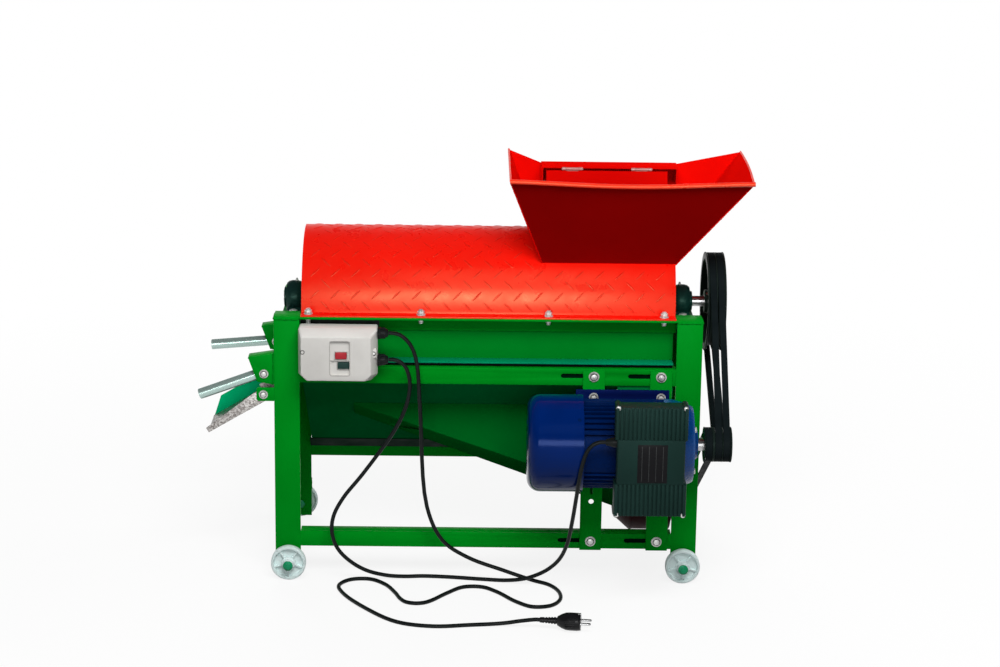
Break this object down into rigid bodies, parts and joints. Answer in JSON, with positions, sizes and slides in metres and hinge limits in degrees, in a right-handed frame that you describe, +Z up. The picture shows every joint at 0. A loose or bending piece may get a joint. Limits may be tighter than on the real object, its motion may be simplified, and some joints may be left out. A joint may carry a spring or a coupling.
{
  "type": "corn sheller",
  "caption": "Motor-driven corn sheller: red hopper and drum hood on a green angle-iron stand with wheels, belt-driven drum, fan, switch box and cords.",
  "frame": {"origin": "on the floor under the middle of the machine's overall length and depth, cords left out", "axes": "+X along the drum towards the pulleys, +Y to the rear, +Z up"},
  "size_m": [1.039, 0.6701, 0.7795],
  "materials": {
    "frame_green": "glossy enamel",
    "hood_red": "glossy enamel over tread plate",
    "hopper_red": "glossy enamel",
    "fan_maroon": "enamel",
    "motor_blue": "hammered enamel",
    "bearing_green": "painted casting",
    "box_green": "satin enamel on cast ribs",
    "steel": "plain ground steel",
    "galvanised": "galvanised sheet",
    "chrome": "bright plated tube",
    "pulley_black": "dark painted casting",
    "belt_rubber": "fabric-faced rubber",
    "cord_rubber": "black rubber sheath",
    "box_pale": "light grey moulded plastic",
    "wheel_pale": "translucent moulded plastic",
    "stop_red": "moulded plastic",
    "start_green": "moulded plastic"
  },
  "bodies": {
    "root": {"leg_front_left": "frame_green", "leg_front_right": "frame_green", "leg_rear_left": "frame_green", "leg_rear_right": "frame_green", "top_rail_front": "frame_green", "top_rail_rear": "frame_green", "mid_rail_front": "frame_green", "mid_rail_rear": "frame_green", "lower_rail_front": "frame_green", "lower_rail_rear": "frame_green", "cross_rail_left": "frame_green", "cross_rail_right": "frame_green", "lower_cross_rail_left": "frame_green", "lower_cross_rail_right": "frame_green", "bearing_beam_left": "frame_green", "bearing_beam_right": "frame_green", "handle_bracket_front": "frame_green", "handle_bracket_rear": "frame_green", "end_plate_left": "frame_green", "end_plate_right": "frame_green", "side_panel_front": "frame_green", "side_panel_rear": "frame_green", "grain_slide": "frame_green", "air_duct": "frame_green", "motor_strap_left": "frame_green", "motor_strap_right": "frame_green", "bearing_left": "bearing_green", "bearing_right": "bearing_green", "hood": "hood_red", "hopper": "hopper_red", "concave_sieve": "steel", "fan_casing": "fan_maroon", "motor_housing": "motor_blue", "motor_fan_cover": "motor_blue", "terminal_box": "box_green", "switch_box": "box_pale", "drive_belt_inner": "belt_rubber", "drive_belt_outer": "belt_rubber", "fan_belt": "belt_rubber", "mains_cord": "cord_rubber", "motor_cable": "cord_rubber", "mains_plug": "cord_rubber"},
    "drum_set": {"drum_shaft": "steel", "drum": "steel", "drum_pulley": "pulley_black"},
    "motor_set": {"motor_rotor": "steel", "motor_pulley": "pulley_black"},
    "fan_set": {"fan_rotor": "steel", "fan_pulley": "pulley_black"},
    "wheel_fl": {"wheel_front_left": "wheel_pale"},
    "wheel_fr": {"wheel_front_right": "wheel_pale"},
    "wheel_rl": {"wheel_rear_left": "wheel_pale"},
    "wheel_rr": {"wheel_rear_right": "wheel_pale"},
    "handle_f": {"handle_front": "chrome"},
    "handle_r": {"handle_rear": "chrome"},
    "chute": {"cob_chute": "galvanised"},
    "flap": {"hopper_flap": "hopper_red"},
    "stop_key": {"stop_button": "stop_red"},
    "start_key": {"start_button": "start_green"}
  },
  "joints": [
    {"name": "drum_spin", "type": "hinge", "parent": "root", "child": "drum_set", "pos_m": [0.02954, 0.08457, 0.506], "axis": [1, 0, 0], "continuous": true},
    {"name": "motor_spin", "type": "hinge", "parent": "root", "child": "motor_set", "pos_m": [0.42954, -0.17342, 0.298], "axis": [1, 0, 0], "continuous": true},
    {"name": "fan_spin", "type": "hinge", "parent": "root", "child": "fan_set", "pos_m": [0.42954, 0.11457, 0.142], "axis": [1, 0, 0], "continuous": true},
    {"name": "wheel_fl_roll", "type": "hinge", "parent": "root", "child": "wheel_fl", "pos_m": [-0.34446, -0.10143, 0.033], "axis": [0, 1, 0], "continuous": true},
    {"name": "wheel_fr_roll", "type": "hinge", "parent": "root", "child": "wheel_fr", "pos_m": [0.40354, -0.10143, 0.033], "axis": [0, 1, 0], "continuous": true},
    {"name": "wheel_rl_roll", "type": "hinge", "parent": "root", "child": "wheel_rl", "pos_m": [-0.34446, 0.27058, 0.033], "axis": [0, 1, 0], "continuous": true},
    {"name": "wheel_rr_roll", "type": "hinge", "parent": "root", "child": "wheel_rr", "pos_m": [0.40354, 0.27058, 0.033], "axis": [0, 1, 0], "continuous": true},
    {"name": "handle_front_fold", "type": "hinge", "parent": "root", "child": "handle_f", "pos_m": [-0.38916, -0.06842, 0.399], "axis": [0, 1, 0], "range_deg": [-10, 30]},
    {"name": "handle_rear_fold", "type": "hinge", "parent": "root", "child": "handle_r", "pos_m": [-0.38916, 0.23758, 0.379], "axis": [0, 1, 0], "range_deg": [-70, 20]},
    {"name": "chute_tilt", "type": "hinge", "parent": "root", "child": "chute", "pos_m": [-0.39046, -0.01992, 0.358], "axis": [0, 1, 0], "range_deg": [-20, 5]},
    {"name": "flap_swing", "type": "hinge", "parent": "root", "child": "flap", "pos_m": [0.25454, 0.14328, 0.75], "axis": [1, 0, 0], "range_deg": [-70, 20]},
    {"name": "stop_press", "type": "slide", "parent": "root", "child": "stop_key", "axis": [0, 1, 0], "range_m": [0, 0.0035], "stiffness_N_per_m": 800},
    {"name": "start_press", "type": "slide", "parent": "root", "child": "start_key", "axis": [0, 1, 0], "range_m": [0, 0.0035], "stiffness_N_per_m": 800}
  ],
  "couplings": [
    {"joint": "motor_spin", "follows": "drum_spin", "ratio": 3.1379},
    {"joint": "fan_spin", "follows": "drum_spin", "ratio": 3.5}
  ]
}
